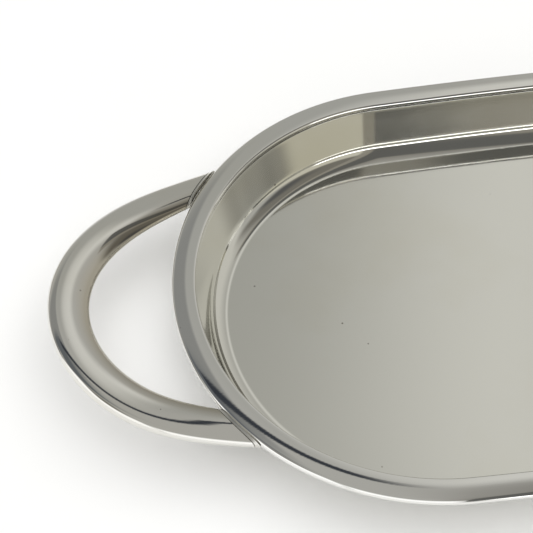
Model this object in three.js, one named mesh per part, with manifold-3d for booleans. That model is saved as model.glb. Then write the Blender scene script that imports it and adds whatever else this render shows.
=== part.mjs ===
// Two-handled oblong serving tray in polished metal.
// Millimetres, +Z up, +X along the tray. The origin is on the table, under the middle of the tray.
import * as THREE from "three";
import { mergeVertices } from "three/addons/utils/BufferGeometryUtils.js";
import Module from "manifold-3d";

// ---- Plan of the tray: two round ends joined by long sides that bow out a little ----
const END_CENTRE_X = 82; // from the middle to the centre of each round end
const END_RADIUS = 105; // round end, measured to the inner edge of the rim
const MID_HALF_WIDTH = 106.4; // half width at the middle, to the same edge

// ---- Pan: one pressed sheet with floor, cove, flared wall and flange ----
const SHEET = 1.2; // thickness of the metal
const FLOOR_RADIUS = 89.7; // end radius where the flat floor stops and the cove starts
const COVE_RADIUS = 9; // between floor and wall, on the inside
const WALL_SLOPE = THREE.MathUtils.degToRad(73.4); // above the horizontal
const FLANGE_TOP_Z = 26.3; // the rim sits on this flange
const FLANGE_RADIUS = 113.6; // outer edge of the flange
const FLANGE_BEND = 0.35; // radius of the corner between wall and flange

// ---- Rim: a low moulding laid on the flange, nearly flat on top and falling a little outward ----
const RIM_BASE_Z = 26.6;
const RIM_TOP_Z = 29.45;
const RIM_TOP_R = END_RADIUS + 1.3; // where the top is level
const RIM_TOP_RADIUS = 33.7;
const RIM_TOP_IN = THREE.MathUtils.degToRad(92.5); // the top arc ends here, inward
const RIM_TOP_OUT = THREE.MathUtils.degToRad(78); // and here, outward
const RIM_CORNER_ROUND = 0.8; // between the top and the bulging inner side
const RIM_CORNER_END = THREE.MathUtils.degToRad(139);
const RIM_INNER_ROUND = 2.1;
const RIM_OUTER_ROUND = 2.1;
const RIM_OUTER = 115; // end radius of the outer edge

// ---- Handles: a flat loop at each end, crowned section, outer side turned down at the arms ----
const HANDLE_CENTRE_X = END_CENTRE_X + 99.75; // pole of the loop's cosine series
const HANDLE_LOOP = [85.9, -41.9, 22.8, -7.1, 1.4]; // radius of the centreline
const HANDLE_HEIGHT = [27.87, -0.59, 1.64, 0.75]; // height of the centreline
const HANDLE_HALF_WIDTH = [6.9, 3.32, -0.97]; // 9.3 at the grip, 7 at the rim
const HANDLE_TILT = [0.12, -0.29]; // radians, outer side down
const HANDLE_CROWN = 0.43; // top above the centreline, as a share of the half width
const HANDLE_BELLY = 0.36; // underside below the centreline, the same way
const HANDLE_SQUARE_IN = 2; // an ellipse towards the tray
const HANDLE_SQUARE_OUT = 3; // flatter on top and tighter at the outer side
const HANDLE_SWEEP = THREE.MathUtils.degToRad(104); // either side of the tray's long axis

// ---- Solder saddles between the rim and the handle's arms ----
const GAP = 0.3; // between neighbouring pieces
const SADDLE_THICKNESS = 1.1;
const SADDLE_STEP = 0.1; // the saddle stands this far out round the arm

// ---- Fineness of the faceted solids ----
const END_STEPS = 32;
const SIDE_STEPS = 4;
const ARC_STEP = THREE.MathUtils.degToRad(17);
const HANDLE_STEPS = 32;
const SECTION_STEPS = 16;

const wasm = await Module();
wasm.setup();

// The long side is an arc tangent to both round ends.
const SIDE_RADIUS =
  (END_CENTRE_X ** 2 + MID_HALF_WIDTH ** 2 - END_RADIUS ** 2) /
  (2 * (MID_HALF_WIDTH - END_RADIUS));
const SIDE_CENTRE_Y = SIDE_RADIUS - MID_HALF_WIDTH;
const SIDE_ANGLE = Math.asin(END_CENTRE_X / (SIDE_RADIUS - END_RADIUS));

function arc(cx, cy, radius, from, to, steps) {
  const points = [];
  for (let i = 0; i <= steps; i++) {
    const a = from + ((to - from) * i) / steps;
    points.push(new THREE.Vector2(cx + radius * Math.cos(a), cy + radius * Math.sin(a)));
  }
  return points;
}

// Points round the tray, anticlockwise, at the end radius r. Offsets of the plan are concentric arcs.
function outline(r) {
  const side = SIDE_RADIUS + r - END_RADIUS;
  const half = Math.PI / 2;
  const p = SIDE_ANGLE;
  return [
    ...arc(END_CENTRE_X, 0, r, p - half, half - p, END_STEPS).slice(0, -1),
    ...arc(0, -SIDE_CENTRE_Y, side, half - p, half + p, SIDE_STEPS).slice(0, -1),
    ...arc(-END_CENTRE_X, 0, r, half + p, 3 * half - p, END_STEPS).slice(0, -1),
    ...arc(0, SIDE_CENTRE_Y, side, 3 * half - p, 3 * half + p, SIDE_STEPS).slice(0, -1),
  ];
}

// A profile arc in the (r, z) half plane, about its own centre, with steps of about ARC_STEP.
function profileArc(r, z, radius, from, to) {
  const steps = Math.max(2, Math.ceil(Math.abs(to - from) / ARC_STEP));
  return arc(r, z, radius, from, to, steps);
}

// Joins rings of equal length into a closed surface. Flat fans close the ends unless it is a loop.
function loft(rings, isLoop) {
  const n = rings[0].length;
  const positions = rings.flat().flatMap((p) => [p.x, p.y, p.z]);
  const index = [];
  const last = isLoop ? rings.length : rings.length - 1;
  for (let i = 0; i < last; i++) {
    const a = i * n;
    const b = ((i + 1) % rings.length) * n;
    for (let j = 0; j < n; j++) {
      const k = (j + 1) % n;
      index.push(a + j, a + k, b + k, a + j, b + k, b + j);
    }
  }
  if (!isLoop) {
    [0, rings.length - 1].forEach((row) => {
      const centre = rings[row].reduce((s, p) => s.add(p), new THREE.Vector3());
      centre.divideScalar(n);
      const c = positions.length / 3;
      positions.push(centre.x, centre.y, centre.z);
      for (let j = 0; j < n; j++) {
        const k = (j + 1) % n;
        if (row === 0) index.push(c, row * n + k, row * n + j);
        else index.push(c, row * n + j, row * n + k);
      }
    });
  }
  const geometry = new THREE.BufferGeometry();
  geometry.setAttribute("position", new THREE.Float32BufferAttribute(positions, 3));
  geometry.setIndex(index);
  return geometry;
}

// Carries a profile of (r, z) points round the tray's plan.
function sweepRound(profile, isLoop) {
  const rings = profile.map((p) =>
    outline(p.x).map((q) => new THREE.Vector3(q.x, q.y, p.y)),
  );
  return loft(rings, isLoop);
}

function toManifold(geometry) {
  const bare = geometry.clone();
  bare.deleteAttribute("normal");
  bare.deleteAttribute("uv");
  const merged = mergeVertices(bare, 1e-4);
  return new wasm.Manifold(
    new wasm.Mesh({
      numProp: 3,
      vertProperties: new Float32Array(merged.attributes.position.array),
      triVerts: new Uint32Array(merged.index.array),
    }),
  );
}

function fromManifold(solid) {
  const mesh = solid.getMesh();
  const geometry = new THREE.BufferGeometry();
  const position = new THREE.BufferAttribute(mesh.vertProperties, 3);
  geometry.setAttribute("position", position);
  geometry.setIndex(new THREE.BufferAttribute(mesh.triVerts, 1));
  geometry.computeVertexNormals();
  return geometry;
}

// The inside face of the pan, from the middle of the floor out to the edge of the flange.
function panInside(offset) {
  const down = -Math.PI / 2;
  const coveZ = SHEET + COVE_RADIUS;
  const cove = profileArc(
    FLOOR_RADIUS,
    coveZ,
    COVE_RADIUS + offset,
    down,
    down + WALL_SLOPE,
  );
  // The wall runs from the cove to the corner, whose centre lies outside the wall.
  const bendZ = FLANGE_TOP_Z - offset - FLANGE_BEND;
  const rise = bendZ - coveZ;
  const reach = COVE_RADIUS + offset + FLANGE_BEND;
  const bendR =
    FLOOR_RADIUS + (reach + rise * Math.cos(WALL_SLOPE)) / Math.sin(WALL_SLOPE);
  const bend = profileArc(
    bendR,
    bendZ,
    FLANGE_BEND,
    Math.PI / 2 + WALL_SLOPE,
    Math.PI / 2,
  );
  const flangeEdge = new THREE.Vector2(FLANGE_RADIUS, FLANGE_TOP_Z - offset);
  return [...cove, ...bend, flangeEdge];
}

function panGeometry() {
  const top = panInside(0);
  const bottom = panInside(SHEET);
  return sweepRound([...bottom, ...top.reverse()], false);
}

// Centre of an arc that carries on from a point, given the direction from the centre to it.
function nextCentre(point, radius, angle) {
  return new THREE.Vector2(point.x - radius * Math.cos(angle), point.y - radius * Math.sin(angle));
}

// Outer round, top, inner corner and bulging inner side, each tangent to the one before.
function rimGeometry() {
  const topZ = RIM_TOP_Z - RIM_TOP_RADIUS;
  const top = profileArc(RIM_TOP_R, topZ, RIM_TOP_RADIUS, RIM_TOP_OUT, RIM_TOP_IN);
  const out = nextCentre(top[0], RIM_OUTER_ROUND, RIM_TOP_OUT);
  const outLow = Math.asin((RIM_BASE_Z - out.y) / RIM_OUTER_ROUND);
  const outer = profileArc(out.x, out.y, RIM_OUTER_ROUND, outLow, RIM_TOP_OUT);
  const turn = nextCentre(top.at(-1), RIM_CORNER_ROUND, RIM_TOP_IN);
  const corner = profileArc(turn.x, turn.y, RIM_CORNER_ROUND, RIM_TOP_IN, RIM_CORNER_END);
  const bulge = nextCentre(corner.at(-1), RIM_INNER_ROUND, RIM_CORNER_END);
  const inLow = Math.PI + Math.asin((bulge.y - RIM_BASE_Z) / RIM_INNER_ROUND);
  const inner = profileArc(bulge.x, bulge.y, RIM_INNER_ROUND, RIM_CORNER_END, inLow);
  return sweepRound([...outer, ...top.slice(1), ...corner.slice(1), ...inner.slice(1)], true);
}

// The space inside the rim's outer edge, grown by a clearance. It cuts the handle's arms.
function rimEnvelope(clearance) {
  const r = RIM_OUTER + clearance;
  const low = new THREE.Vector2(r, 0);
  const high = new THREE.Vector2(r, 2 * RIM_TOP_Z);
  return toManifold(sweepRound([low, high], false));
}

function cosineSeries(coefficients, angle) {
  return coefficients.reduce((sum, c, k) => sum + c * Math.cos(k * angle), 0);
}

function handleCentre(angle) {
  const r = cosineSeries(HANDLE_LOOP, angle);
  const x = HANDLE_CENTRE_X + r * Math.cos(angle);
  return new THREE.Vector3(x, r * Math.sin(angle), cosineSeries(HANDLE_HEIGHT, angle));
}

// Pushes a circle's coordinate outward towards a rounded square.
function squared(t, power) {
  return Math.sign(t) * Math.abs(t) ** (2 / power);
}

// One section of the handle: a rounded bar, flatter than it is wide.
function handleSection(angle, grow) {
  const centre = handleCentre(angle);
  const along = handleCentre(angle + 0.01).sub(handleCentre(angle - 0.01)).setZ(0).normalize();
  const outward = new THREE.Vector3(along.y, -along.x, 0);
  const tilt = cosineSeries(HANDLE_TILT, angle);
  const across = outward.clone().multiplyScalar(Math.cos(tilt)).setZ(-Math.sin(tilt));
  const upward = outward.clone().multiplyScalar(Math.sin(tilt)).setZ(Math.cos(tilt));
  const halfWidth = cosineSeries(HANDLE_HALF_WIDTH, angle);
  const ring = [];
  for (let i = 0; i < SECTION_STEPS; i++) {
    const a = (2 * Math.PI * i) / SECTION_STEPS;
    const share = i < SECTION_STEPS / 2 ? HANDLE_CROWN : HANDLE_BELLY;
    const height = halfWidth * share + grow;
    const power = Math.cos(a) > 0 ? HANDLE_SQUARE_OUT : HANDLE_SQUARE_IN;
    const side = squared(Math.cos(a), power);
    ring.push(
      centre
        .clone()
        .addScaledVector(across, (halfWidth + grow) * side)
        .addScaledVector(upward, height * squared(Math.sin(a), power)),
    );
  }
  return ring;
}

// The handle at the +X end, before its arms are cut to the rim.
function handleLoop(grow) {
  const rings = [];
  for (let i = 0; i <= HANDLE_STEPS; i++) {
    const angle = HANDLE_SWEEP * (1 - (2 * i) / HANDLE_STEPS);
    rings.push(handleSection(angle, grow));
  }
  return toManifold(loft(rings, false));
}

// A slab that covers one arm, so that each saddle is a solid of its own.
function armBox(side) {
  const box = new THREE.BoxGeometry(2 * END_RADIUS, END_RADIUS, 60);
  box.translate(END_CENTRE_X + END_RADIUS, (side * END_RADIUS) / 2, RIM_BASE_Z);
  return toManifold(box);
}

const panMetal = new THREE.MeshStandardMaterial({
  name: "pan_metal",
  color: 0xc9c7bd,
  metalness: 1,
  roughness: 0.14,
});
const rimMetal = new THREE.MeshStandardMaterial({
  name: "rim_metal",
  color: 0xcbc9c3,
  metalness: 1,
  roughness: 0.08,
});
const handleMetal = new THREE.MeshStandardMaterial({
  name: "handle_metal",
  color: 0xc8c5bc,
  metalness: 1,
  roughness: 0.1,
});
const solderMetal = new THREE.MeshStandardMaterial({
  name: "solder_metal",
  color: 0x9d968a,
  metalness: 1,
  roughness: 0.3,
});

function addMesh(group, name, geometry, material) {
  const mesh = new THREE.Mesh(geometry, material);
  mesh.name = name;
  group.add(mesh);
}

function addHandle(group, end, turn) {
  const handle = new THREE.Group();
  handle.rotation.z = turn;
  const cut = handleLoop(0).subtract(rimEnvelope(2 * GAP + SADDLE_THICKNESS));
  addMesh(handle, `handle_${end}`, fromManifold(cut), handleMetal);
  const shell = rimEnvelope(GAP + SADDLE_THICKNESS).subtract(rimEnvelope(GAP));
  const arms = handleLoop(SADDLE_STEP).intersect(shell);
  const names = turn === 0 ? ["rear", "front"] : ["front", "rear"];
  [1, -1].forEach((side, i) => {
    const saddle = arms.intersect(armBox(side));
    addMesh(handle, `saddle_${end}_${names[i]}`, fromManifold(saddle), solderMetal);
  });
  group.add(handle);
}

const tray = new THREE.Group();
tray.name = "serving_tray";
addMesh(tray, "pan", panGeometry(), panMetal);
addMesh(tray, "rim_moulding", rimGeometry(), rimMetal);
addHandle(tray, "right", 0);
addHandle(tray, "left", Math.PI);

export default tray;
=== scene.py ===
"""Oblong two-handled serving tray in polished metal: fine surfaces, materials, light and camera."""

import math

import bpy
import numpy as np
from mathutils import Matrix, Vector


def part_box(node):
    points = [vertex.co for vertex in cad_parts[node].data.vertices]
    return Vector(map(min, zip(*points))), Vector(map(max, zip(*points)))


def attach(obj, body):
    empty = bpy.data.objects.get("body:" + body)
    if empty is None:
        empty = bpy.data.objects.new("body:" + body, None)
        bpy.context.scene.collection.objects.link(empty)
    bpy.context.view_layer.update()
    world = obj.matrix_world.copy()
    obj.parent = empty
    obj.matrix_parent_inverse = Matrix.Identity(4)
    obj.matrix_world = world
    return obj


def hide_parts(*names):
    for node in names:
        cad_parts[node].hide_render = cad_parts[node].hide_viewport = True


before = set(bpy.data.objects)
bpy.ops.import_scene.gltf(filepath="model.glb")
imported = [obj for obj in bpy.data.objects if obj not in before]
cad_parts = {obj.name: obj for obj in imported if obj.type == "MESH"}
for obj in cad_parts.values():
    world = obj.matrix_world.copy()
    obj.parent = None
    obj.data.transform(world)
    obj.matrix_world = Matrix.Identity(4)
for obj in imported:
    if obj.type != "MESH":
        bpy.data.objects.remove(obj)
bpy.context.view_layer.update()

# ---- Dimensions, in metres. Places come from the frame; these are shapes within it. ----
MM = 0.001
SHEET = 1.2 * MM  # thickness of the pan
COVE_RADIUS = 9 * MM  # rounded foot of the wall
WALL_SLOPE = math.radians(73.4)
FLANGE_BEND = 0.35 * MM  # corner between the wall and the flange
FLOOR_INSET = 25.3 * MM  # from the rim's outer edge in to the foot's centre
SIDE_BOW = 1.4 * MM  # the long sides stand out this far at the middle

RIM_OUTER = 114.99 * MM  # radius of the round end at the rim's outer edge
RIM_WIDTH = 10 * MM
RIM_TOP_RADIUS = 33.7 * MM  # the rim's nearly flat top, level just inside its middle
RIM_TOP_LEVEL = 8.7 * MM  # from the rim's outer edge in to that line
RIM_TOP_OUT, RIM_TOP_IN = math.radians(78), math.radians(92.5)  # where the top arc ends
RIM_CORNER_ROUND = 0.8 * MM  # between the top and the bulging inner side
RIM_CORNER_END = math.radians(139)
RIM_INNER_ROUND = 2.1 * MM
RIM_OUTER_ROUND = 2.1 * MM

# The loop is drawn in polar form round its pole, from 0 at its tip. The lists below are the
# coefficients of cos(0 a), cos(a), cos(2 a) and so on, where a is the angle round the loop.
HANDLE_POLE = 99.68 * MM  # from the centre of the round end to the pole of the loop
HANDLE_LOOP = [85.9, -41.9, 22.8, -7.1, 1.4]  # mm from the pole to the centreline
HANDLE_HEIGHT = [27.85, -0.59, 1.64, 0.75]  # mm from the table to the centreline
HANDLE_HALF_WIDTH = [6.9, 3.32, -0.97]  # mm
HANDLE_TILT = [0.12, -0.29]  # radians, the outer side down where positive
HANDLE_CROWN = 0.43  # top above the centreline, as a share of the half width
HANDLE_BELLY = 0.36
HANDLE_SQUARE_IN = 2.0  # an ellipse towards the tray
HANDLE_SQUARE_OUT = 3.0  # flatter on top and tighter at the outer side
ARM_FREE = math.radians(60)  # angles round the loop between which each arm meets the rim
ARM_BURIED = math.radians(107)

GAP = 0.3 * MM  # between neighbouring pieces
SADDLE_THICKNESS = 1.1 * MM
SADDLE_SINK = -0.08 * MM  # against the arm, the saddle is this much slimmer than the arm
SADDLE_FLARE = 0.18 * MM  # and it grows by this much towards the rim

# ---- Places read from the frame ----
rim_low, rim_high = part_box("rim_moulding")
pan_low, pan_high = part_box("pan")
END_X = rim_high.x - RIM_OUTER  # centre of the round end
RIM_BASE = rim_low.z
FLANGE_TOP = pan_high.z
FLANGE_EDGE = pan_high.x - END_X

# The long sides are shallow arcs that run smoothly into the round ends.
INNER_EDGE = RIM_OUTER - RIM_WIDTH
MID_HALF = INNER_EDGE + SIDE_BOW
SIDE_RADIUS = (END_X**2 + MID_HALF**2 - INNER_EDGE**2) / (2 * (MID_HALF - INNER_EDGE))
SIDE_ANGLE = math.asin(END_X / (SIDE_RADIUS - INNER_EDGE))


# ---- Plan and profiles ----
def arc(cx, cy, radius, start, stop, steps):
    """Points of an arc, both ends included."""
    a = np.linspace(start, stop, steps + 1)
    return np.stack([cx + radius * np.cos(a), cy + radius * np.sin(a)], 1)


def outline(r, end_steps=192, side_steps=24):
    """Closed plan of the tray at the end radius r, anticlockwise."""
    side = SIDE_RADIUS + r - INNER_EDGE
    centre = SIDE_RADIUS - MID_HALF
    half, p = math.pi / 2, SIDE_ANGLE
    return np.concatenate(
        [
            arc(END_X, 0, r, p - half, half - p, end_steps)[:-1],
            arc(0, -centre, side, half - p, half + p, side_steps)[:-1],
            arc(-END_X, 0, r, half + p, 3 * half - p, end_steps)[:-1],
            arc(0, centre, side, 3 * half - p, 3 * half + p, side_steps)[:-1],
        ]
    )


def pan_side(offset, steps=28):
    """(r, z) line of one face of the sheet, from the foot of the wall to the flange's edge."""
    cove_z = pan_low.z + SHEET + COVE_RADIUS
    cove_r = RIM_OUTER - FLOOR_INSET
    bend_z = FLANGE_TOP - offset - FLANGE_BEND
    reach = COVE_RADIUS + offset + FLANGE_BEND
    rise = bend_z - cove_z
    bend_r = cove_r + (reach + rise * math.cos(WALL_SLOPE)) / math.sin(WALL_SLOPE)
    cove = arc(cove_r, cove_z, COVE_RADIUS + offset, -math.pi / 2, WALL_SLOPE - math.pi / 2, steps)
    bend = arc(bend_r, bend_z, FLANGE_BEND, math.pi / 2 + WALL_SLOPE, math.pi / 2, 14)
    wall = np.linspace(cove[-1], bend[0], 12)[1:-1]
    flange = np.array([[FLANGE_EDGE, FLANGE_TOP - offset]])
    return np.concatenate([cove, wall, bend, flange])


def next_centre(point, radius, angle):
    """Centre of an arc that carries on from a point, given the direction from the centre."""
    return point[0] - radius * math.cos(angle), point[1] - radius * math.sin(angle)


def rim_profile():
    """Low moulding: outer round, nearly flat top, tight corner and bulging inner side."""
    top_z = rim_high.z - RIM_TOP_RADIUS
    top = arc(RIM_OUTER - RIM_TOP_LEVEL, top_z, RIM_TOP_RADIUS, RIM_TOP_OUT, RIM_TOP_IN, 30)
    out_r, out_z = next_centre(top[0], RIM_OUTER_ROUND, RIM_TOP_OUT)
    out_low = math.asin((RIM_BASE - out_z) / RIM_OUTER_ROUND)
    outer = arc(out_r, out_z, RIM_OUTER_ROUND, out_low, RIM_TOP_OUT, 24)
    turn_r, turn_z = next_centre(top[-1], RIM_CORNER_ROUND, RIM_TOP_IN)
    corner = arc(turn_r, turn_z, RIM_CORNER_ROUND, RIM_TOP_IN, RIM_CORNER_END, 12)
    in_r, in_z = next_centre(corner[-1], RIM_INNER_ROUND, RIM_CORNER_END)
    in_low = math.pi + math.asin((in_z - RIM_BASE) / RIM_INNER_ROUND)
    inner = arc(in_r, in_z, RIM_INNER_ROUND, RIM_CORNER_END, in_low, 24)
    return np.concatenate([outer, top[1:], corner[1:], inner[1:]])


# ---- Meshes ----
def make_object(name, verts, faces, sharp_deg=35):
    """Smooth-shaded object, with edges sharper than the given angle left crisp."""
    mesh = bpy.data.meshes.new(name)
    mesh.from_pydata([tuple(map(float, v)) for v in verts], [], [tuple(f) for f in faces])
    mesh.validate()
    mesh.polygons.foreach_set("use_smooth", [True] * len(mesh.polygons))
    mesh.set_sharp_from_angle(angle=math.radians(sharp_deg))
    mesh.update()
    obj = bpy.data.objects.new(name, mesh)
    bpy.context.scene.collection.objects.link(obj)
    return obj


def loft_faces(rows, cols, closed_rows):
    """Quads between rows of cols points. Rows are rings; closed_rows joins the last to the first."""
    faces = []
    last = rows if closed_rows else rows - 1
    for i in range(last):
        a, b = i * cols, ((i + 1) % rows) * cols
        for j in range(cols):
            k = (j + 1) % cols
            faces.append((a + j, a + k, b + k, b + j))
    return faces


def end_caps(rows, cols):
    """Faces over the first and the last row of a loft."""
    first = tuple(reversed(range(cols)))
    last = tuple((rows - 1) * cols + j for j in range(cols))
    return [first, last]


def capped(name, rows, cols, verts):
    """Loft that is closed by a face at each end."""
    return make_object(name, verts, loft_faces(rows, cols, False) + end_caps(rows, cols))


def sweep_round(profile):
    """Points of a profile of (r, z) swept round the tray, and the number in each ring."""
    rings = [np.insert(outline(r), 2, z, axis=1) for r, z in profile]
    return np.concatenate(rings), len(rings[0])


def pan_mesh(name):
    profile = np.concatenate([pan_side(SHEET), pan_side(0.0)[::-1]])
    verts, cols = sweep_round(profile)
    return capped(name, len(profile), cols, verts)


def rim_mesh(name):
    profile = rim_profile()
    verts, cols = sweep_round(profile)
    return make_object(name, verts, loft_faces(len(profile), cols, True))


def series(coefficients, angle):
    """Cosine series at an angle round the handle's loop."""
    return sum(c * np.cos(k * angle) for k, c in enumerate(coefficients))


def handle_centre(angle):
    """Point of the +X handle's centreline."""
    r = series(HANDLE_LOOP, angle) * MM
    x = END_X + HANDLE_POLE + r * np.cos(angle)
    return np.stack([x, r * np.sin(angle), series(HANDLE_HEIGHT, angle) * MM], -1)


def squared(wave, power):
    """A sine or cosine, bent from an ellipse's into a squarer outline's."""
    return np.sign(wave) * np.abs(wave) ** (2 / power)


def handle_point(angle, turn, grow=0.0):
    """Surface point of the +X handle: angle round the loop, turn round its section."""
    angle, turn = np.asarray(angle, float), np.asarray(turn, float)
    step = 0.01
    along = handle_centre(angle + step) - handle_centre(angle - step)
    along[..., 2] = 0
    along /= np.linalg.norm(along, axis=-1, keepdims=True)
    outward = np.stack([along[..., 1], -along[..., 0], 0 * angle], -1)
    up = np.array([0.0, 0.0, 1.0])
    tilt = series(HANDLE_TILT, angle)[..., None]
    across = outward * np.cos(tilt) - up * np.sin(tilt)
    upward = outward * np.sin(tilt) + up * np.cos(tilt)
    half = series(HANDLE_HALF_WIDTH, angle) * MM
    height = half * np.where(np.sin(turn) >= 0, HANDLE_CROWN, HANDLE_BELLY) + grow
    power = np.where(np.cos(turn) > 0, HANDLE_SQUARE_OUT, HANDLE_SQUARE_IN)
    side = (half + grow) * squared(np.cos(turn), power)
    rise = height * squared(np.sin(turn), power)
    return handle_centre(angle) + across * side[..., None] + upward * rise[..., None]


def outside_rim(points, clearance):
    """True where a point is clear of the rim moulding, grown by the clearance."""
    r = np.hypot(points[..., 0] - END_X, points[..., 1])
    return r > RIM_OUTER + clearance


def arm_end(turns, side, clearance, grow):
    """Angle at which each line along the arm meets the rim, found by halving."""
    low = np.full(turns.shape, ARM_FREE)
    high = np.full(turns.shape, ARM_BURIED)
    for _ in range(40):
        mid = (low + high) / 2
        free = outside_rim(handle_point(side * mid, turns, grow), clearance)
        low, high = np.where(free, mid, low), np.where(free, high, mid)
    return low


def mark_flank(obj, turns, rows):
    """The side towards the tray: 1 there and 0 elsewhere, where its material paints a darker, browner
    reflection.
    """
    inner = np.clip((-np.cos(turns) - 0.25) / 0.5, 0, 1)
    flank = obj.data.attributes.new("flank", "FLOAT", "POINT")
    flank.data.foreach_set("value", np.tile(inner, rows).astype(np.float32))


def handle_mesh(name, mirror, rows=240, cols=72):
    """Loop handle. It is the +X one where mirror is 1, and that one turned round where it is -1."""
    turns = np.linspace(0, 2 * math.pi, cols, endpoint=False)
    clearance = 2 * GAP + SADDLE_THICKNESS
    end = arm_end(turns, 1, clearance, 0.0)
    start = -arm_end(turns, -1, clearance, 0.0)
    t = np.linspace(0, 1, rows)[:, None]
    angles = end * (1 - t) + start * t
    points = handle_point(angles, np.broadcast_to(turns, angles.shape))
    obj = capped(name, rows, cols, points.reshape(-1, 3) * [mirror, mirror, 1])
    mark_flank(obj, turns, rows)
    return obj


def saddle_mesh(name, mirror, side, rows=14, cols=72):
    """Solder collar, a little wider against the rim than against the arm."""
    turns = np.linspace(0, 2 * math.pi, cols, endpoint=False)
    layers = []
    for t in np.linspace(0, 1, rows):
        clearance = GAP + SADDLE_THICKNESS * (1 - t)
        grow = SADDLE_SINK + SADDLE_FLARE * t**2.2
        angle = side * arm_end(turns, side, clearance, grow)
        layers.append(handle_point(angle, turns, grow))
    if side < 0:
        layers.reverse()
    points = np.concatenate(layers) * [mirror, mirror, 1]
    return capped(name, rows, cols, points)


# ---- Shader nodes ----
def math_node(tree, operation, *values):
    """Math node; each value is a socket or a number."""
    node = tree.nodes.new("ShaderNodeMath")
    node.operation = operation
    for socket, value in zip(node.inputs, values):
        if isinstance(value, bpy.types.NodeSocket):
            tree.links.new(value, socket)
        else:
            socket.default_value = value
    return node.outputs[0]


def ramp_up(tree, value, start, stop):
    """0 below start, 1 above stop, smooth between; runs the other way if start is the larger."""
    node = tree.nodes.new("ShaderNodeMapRange")
    node.interpolation_type = "SMOOTHSTEP"
    tree.links.new(value, node.inputs["Value"])
    node.inputs["From Min"].default_value = min(start, stop)
    node.inputs["From Max"].default_value = max(start, stop)
    node.inputs["To Min"].default_value = 0 if start < stop else 1
    node.inputs["To Max"].default_value = 1 if start < stop else 0
    return node.outputs["Result"]


def inside(tree, value, low, high, soft):
    """1 between low and high and 0 outside, with soft edges."""
    rise = ramp_up(tree, value, low - soft, low + soft)
    fall = ramp_up(tree, value, high + soft, high - soft)
    return math_node(tree, "MULTIPLY", rise, fall)


def blend(tree, amount, below, above):
    """Colour mix; below and above are sockets or colours."""
    node = tree.nodes.new("ShaderNodeMix")
    node.data_type = "RGBA"
    tree.links.new(amount, node.inputs[0])
    for socket, value in ((node.inputs[6], below), (node.inputs[7], above)):
        if isinstance(value, bpy.types.NodeSocket):
            tree.links.new(value, socket)
        else:
            socket.default_value = (*value, 1)
    return node.outputs[2]


def noise(tree, vector, scale, detail=2.0, roughness=0.5):
    node = tree.nodes.new("ShaderNodeTexNoise")
    node.inputs["Scale"].default_value = scale
    node.inputs["Detail"].default_value = detail
    node.inputs["Roughness"].default_value = roughness
    tree.links.new(vector, node.inputs["Vector"])
    return node.outputs["Fac"]


def spread(tree, value, low, high, to_low=0.0, to_high=1.0):
    """Maps low..high on to to_low..to_high, held at the ends."""
    node = tree.nodes.new("ShaderNodeMapRange")
    tree.links.new(value, node.inputs["Value"])
    limits = {"From Min": low, "From Max": high, "To Min": to_low, "To Max": to_high}
    for socket, number in limits.items():
        node.inputs[socket].default_value = number
    return node.outputs["Result"]


def bump(tree, height, strength, distance, normal=None):
    node = tree.nodes.new("ShaderNodeBump")
    node.inputs["Strength"].default_value = strength
    node.inputs["Distance"].default_value = distance
    tree.links.new(height, node.inputs["Height"])
    if normal is not None:
        tree.links.new(normal, node.inputs["Normal"])
    return node.outputs["Normal"]


# ---- Materials. Scales are in cycles per metre. ----
CLOUD_SCALE = 22  # patches of duller polish
TARNISH_SCALE = 9
TARNISH_TINT = (0.90, 0.87, 0.78)
PIT_SCALE = 85
PIT_RADIUS = 0.05  # as a share of the pits' spacing
PIT_COLOR = (0.16, 0.14, 0.12)
PIT_PATCH_SCALE = 31  # pits show only in some patches
RUB_SCALE = (60, 1400, 1400)  # long thin lines
RUB_ANGLE = 0.3  # radians from the tray's length
RUB_DEPTH = 0.1 * MM
SWELL_SCALE = 14
SWELL_DEPTH = 1 * MM


def principled(name, color, roughness, metallic=1.0):
    mat = bpy.data.materials.new(name)
    mat.use_nodes = True
    shader = mat.node_tree.nodes["Principled BSDF"]
    shader.inputs["Base Color"].default_value = (*color, 1)
    shader.inputs["Metallic"].default_value = metallic
    shader.inputs["Roughness"].default_value = roughness
    return mat, mat.node_tree, shader


def cloudy_gloss(tree, coords, roughness):
    """Roughness that rises by up to 60 per cent in duller patches."""
    cloud = noise(tree, coords, CLOUD_SCALE, 5, 0.6)
    return spread(tree, cloud, 0.3, 0.75, roughness, roughness * 1.6)


def tarnished(tree, coords, color):
    """The metal's colour, a little warmer in broad patches."""
    patches = spread(tree, noise(tree, coords, TARNISH_SCALE, 4, 0.6), 0.5, 0.8, 0, 0.5)
    warm = tuple(c * f for c, f in zip(color, TARNISH_TINT))
    return blend(tree, patches, color, warm)


def painted_flank_reflection(tree, tone, flank_reflection):
    """Painted reflection: a darker, browner colour where the mesh marks the flank towards the tray.
    """
    flank = tree.nodes.new("ShaderNodeAttribute")
    flank.attribute_name = "flank"
    return blend(tree, flank.outputs["Fac"], tone, flank_reflection)


def pitted(tree, coords, tone):
    """A few small dark pits."""
    cells = tree.nodes.new("ShaderNodeTexVoronoi")
    cells.inputs["Scale"].default_value = PIT_SCALE
    tree.links.new(coords, cells.inputs["Vector"])
    dot = ramp_up(tree, cells.outputs["Distance"], PIT_RADIUS, PIT_RADIUS * 0.5)
    sparse = spread(tree, noise(tree, coords, PIT_PATCH_SCALE), 0.52, 0.60)
    return blend(tree, math_node(tree, "MULTIPLY", dot, sparse), tone, PIT_COLOR)


def rubbed_lines(tree, coords, strength):
    """Fine lines left by years of rubbing."""
    stretch = tree.nodes.new("ShaderNodeMapping")
    stretch.inputs["Rotation"].default_value = (0, 0, RUB_ANGLE)
    stretch.inputs["Scale"].default_value = RUB_SCALE
    tree.links.new(coords, stretch.inputs["Vector"])
    return bump(tree, noise(tree, stretch.outputs["Vector"], 1), strength, RUB_DEPTH)


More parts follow.
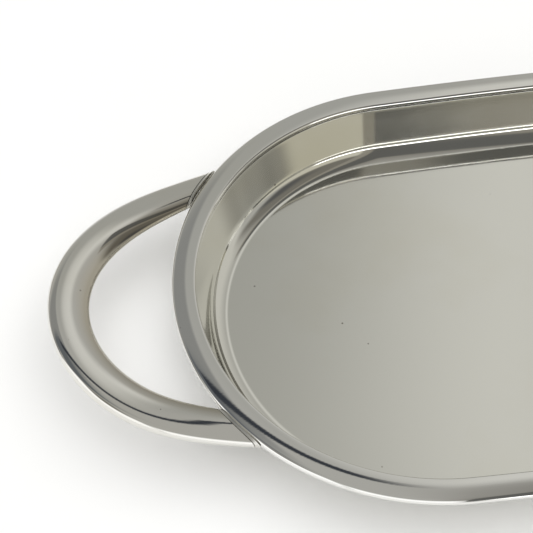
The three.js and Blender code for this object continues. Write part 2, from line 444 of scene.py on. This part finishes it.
def metal(name, color, roughness, scratch=0.03, swell=0.0, flank_reflection=None):
    """Polished metal: cloudy gloss, faint tarnish, fine rubbed lines, small pits and slight swell,
    with a painted darker reflection on the flank towards the tray where one is given.
    """
    mat, tree, shader = principled(name, color, roughness)
    coords = tree.nodes.new("ShaderNodeTexCoord").outputs["Object"]
    tone = tarnished(tree, coords, color)
    # Painted reflection: the flank towards the tray is coloured darker and browner, where given.
    if flank_reflection:
        tone = painted_flank_reflection(tree, tone, flank_reflection)
    normal = rubbed_lines(tree, coords, scratch)
    if swell:
        normal = bump(tree, noise(tree, coords, SWELL_SCALE, 1), swell, SWELL_DEPTH, normal)
    tree.links.new(pitted(tree, coords, tone), shader.inputs["Base Color"])
    tree.links.new(cloudy_gloss(tree, coords, roughness), shader.inputs["Roughness"])
    tree.links.new(normal, shader.inputs["Normal"])
    return mat


def paint(obj, mat, node):
    """Gives a piece its material and the CAD node whose place it takes."""
    obj.data.materials.clear()
    obj.data.materials.append(mat)
    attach(obj, "root")
    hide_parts(node)


# ---- The tray ----
pan_metal = metal("pan_metal", (0.80, 0.795, 0.75), 0.05, scratch=0.02)
rim_metal = metal("rim_metal", (0.82, 0.815, 0.79), 0.035, swell=0.05)
# Painted reflection: colour of the handle's side towards the tray, darker and browner for the warm
# tray it mirrors.
FLANK_PAINTED_REFLECTION = (0.52, 0.49, 0.42)
handle_metal = metal("handle_metal", (0.80, 0.79, 0.755), 0.045, swell=0.05, flank_reflection=FLANK_PAINTED_REFLECTION)
solder_metal = metal("solder_metal", (0.70, 0.69, 0.65), 0.22)

paint(pan_mesh("tray_pan"), pan_metal, "pan")
paint(rim_mesh("tray_rim"), rim_metal, "rim_moulding")
for end, mirror in (("right", 1), ("left", -1)):
    handle = handle_mesh(f"loop_handle_{end}", mirror)
    paint(handle, handle_metal, f"handle_{end}")
    for side in (1, -1):
        place = "rear" if side * mirror > 0 else "front"
        saddle = saddle_mesh(f"solder_{end}_{place}", mirror, side)
        paint(saddle, solder_metal, f"saddle_{end}_{place}")

# ---- Floor ----
FLOOR_HALF = 4
FLOOR_Z = -0.2 * MM
square = [(-1, -1), (1, -1), (1, 1), (-1, 1)]
corners = [(x * FLOOR_HALF, y * FLOOR_HALF, FLOOR_Z) for x, y in square]
floor = make_object("floor", corners, [(0, 1, 2, 3)])
floor_mat, _, _ = principled("floor_paper", (0.9, 0.9, 0.9), 0.9, metallic=0.0)
floor.data.materials.append(floor_mat)

# ---- Light: a soft room, mostly grey wall, with pale panels and dark gaps ----
CAMERA_AZIMUTH = math.radians(-8.3)
CAMERA_ELEVATION = math.radians(52.85)
WALL_COLOR = (0.45, 0.445, 0.42)

# Each panel: colour, across (degrees right of the camera), over (degrees from the horizon behind
# the tray, 90 overhead, 180 on the camera's side), softness of its edges across and over.
# A later panel covers the ones before it.
PANELS = [
    ((0.62, 0.61, 0.57), (30, 100), (-20, 70), 18, 10),  # paler wall on the right
    ((0.40, 0.40, 0.375), (-28, 6), (-20, 58), 6, 10),  # wall behind
    ((0.27, 0.272, 0.262), (-100, -9.5), (40, 78), 2, 8),  # dim corner, left
    ((0.13, 0.14, 0.15), (-60, -17), (64, 98), 8, 4),  # dark gap over it
    ((0.04, 0.045, 0.055), (-24, 4), (65.5, 70), 3, 1),  # black edge of the ceiling
    ((0.20, 0.19, 0.17), (10, 60), (68, 150), 10, 10),  # dim ceiling, right
    ((0.11, 0.11, 0.11), (42, 62), (92, 128), 8, 8),  # darkest part of it
    ((0.68, 0.675, 0.64), (4.5, 13.5), (38, 66), 5, 6),  # pale strip behind
    ((0.62, 0.60, 0.52), (20, 100), (140, 200), 4, 6),  # beige wall on the camera's side
    ((1.25, 1.25, 1.25), (-26, 12), (140, 200), 4, 10),  # wide panel in front
    ((0.22, 0.215, 0.19), (-46, -27), (104, 128), 2.5, 8),  # grey wall left of it
    ((1.25, 1.25, 1.25), (-60, -27), (130, 200), 2.5, 8),  # white panel under that
    ((1.25, 1.25, 1.25), (-100, -47), (104, 200), 3, 8),  # and at the far left
    ((3.0, 3.0, 3.0), (18, 50), (166.6, 200), 1.5, 0.8),  # long low lamp
    ((0.30, 0.285, 0.25), (13, 26.7), (60, 165.6), 0.6, 0.8),  # stand beneath it
    ((0.13, 0.13, 0.125), (13, 21.8), (60, 165.6), 0.5, 0.8),  # its darker half
    ((0.60, 0.60, 0.60), (-28, -14), (-20, 18), 5, 6),  # low pale panel behind, left
]


def soft_room():
    """World light: the panels over the wall, laid out in degrees as the camera faces."""
    world = bpy.data.worlds.new("soft_room")
    bpy.context.scene.world = world
    world.use_nodes = True
    tree = world.node_tree
    add, link = tree.nodes.new, tree.links.new
    coords = add("ShaderNodeTexCoord")
    turn = add("ShaderNodeMapping")
    turn.vector_type = "VECTOR"
    turn.inputs["Rotation"].default_value = (0, 0, -CAMERA_AZIMUTH)
    link(coords.outputs["Generated"], turn.inputs["Vector"])
    split = add("ShaderNodeSeparateXYZ")
    link(turn.outputs["Vector"], split.inputs["Vector"])
    degree = 180 / math.pi
    across = math_node(tree, "ARCSINE", split.outputs["X"])
    across = math_node(tree, "MULTIPLY", across, degree)
    over = math_node(tree, "ARCTAN2", split.outputs["Z"], split.outputs["Y"])
    over = math_node(tree, "MULTIPLY", over, degree)
    colour = WALL_COLOR
    for panel, width, height, soft_across, soft_over in PANELS:
        mask = math_node(
            tree,
            "MULTIPLY",
            inside(tree, across, *width, soft_across),
            inside(tree, over, *height, soft_over),
        )
        colour = blend(tree, mask, colour, panel)
    link(colour, tree.nodes["Background"].inputs["Color"])


soft_room()


LAMP_PLACE = Vector((0.0, 0.1, 1.9))
LAMP_SIZE = 3.6
LAMP_WATTS = 55


def overhead_lamp():
    """Broad soft lamp over the tray. Metal mirrors the room instead of it."""
    light = bpy.data.lights.new("overhead", "AREA")
    light.shape = "RECTANGLE"
    light.size, light.size_y = LAMP_SIZE, LAMP_SIZE
    light.energy = LAMP_WATTS
    lamp = bpy.data.objects.new("overhead", light)
    lamp.location = LAMP_PLACE
    lamp.rotation_euler = (-LAMP_PLACE).to_track_quat("-Z", "Y").to_euler()
    lamp.visible_glossy = False
    bpy.context.scene.collection.objects.link(lamp)


overhead_lamp()

# ---- Camera ----
LENS_MM = 108.08
SENSOR_MM = 36
CAMERA_DISTANCE = 0.7195
CAMERA_TARGET = Vector((-END_X - 0.07079, 0.01545, 0.0282))  # inside the left round end


def add_camera():
    data = bpy.data.cameras.new("camera")
    data.sensor_width = SENSOR_MM
    data.lens = LENS_MM
    data.clip_start = 0.01
    data.clip_end = 50
    camera = bpy.data.objects.new("camera", data)
    level = math.cos(CAMERA_ELEVATION)
    back = Vector(
        (
            math.sin(CAMERA_AZIMUTH) * level,
            -math.cos(CAMERA_AZIMUTH) * level,
            math.sin(CAMERA_ELEVATION),
        )
    )
    camera.location = CAMERA_TARGET + back * CAMERA_DISTANCE
    camera.rotation_euler = back.to_track_quat("Z", "Y").to_euler()
    bpy.context.scene.collection.objects.link(camera)
    bpy.context.scene.camera = camera


add_camera()
bpy.context.scene.view_settings.view_transform = "Standard"
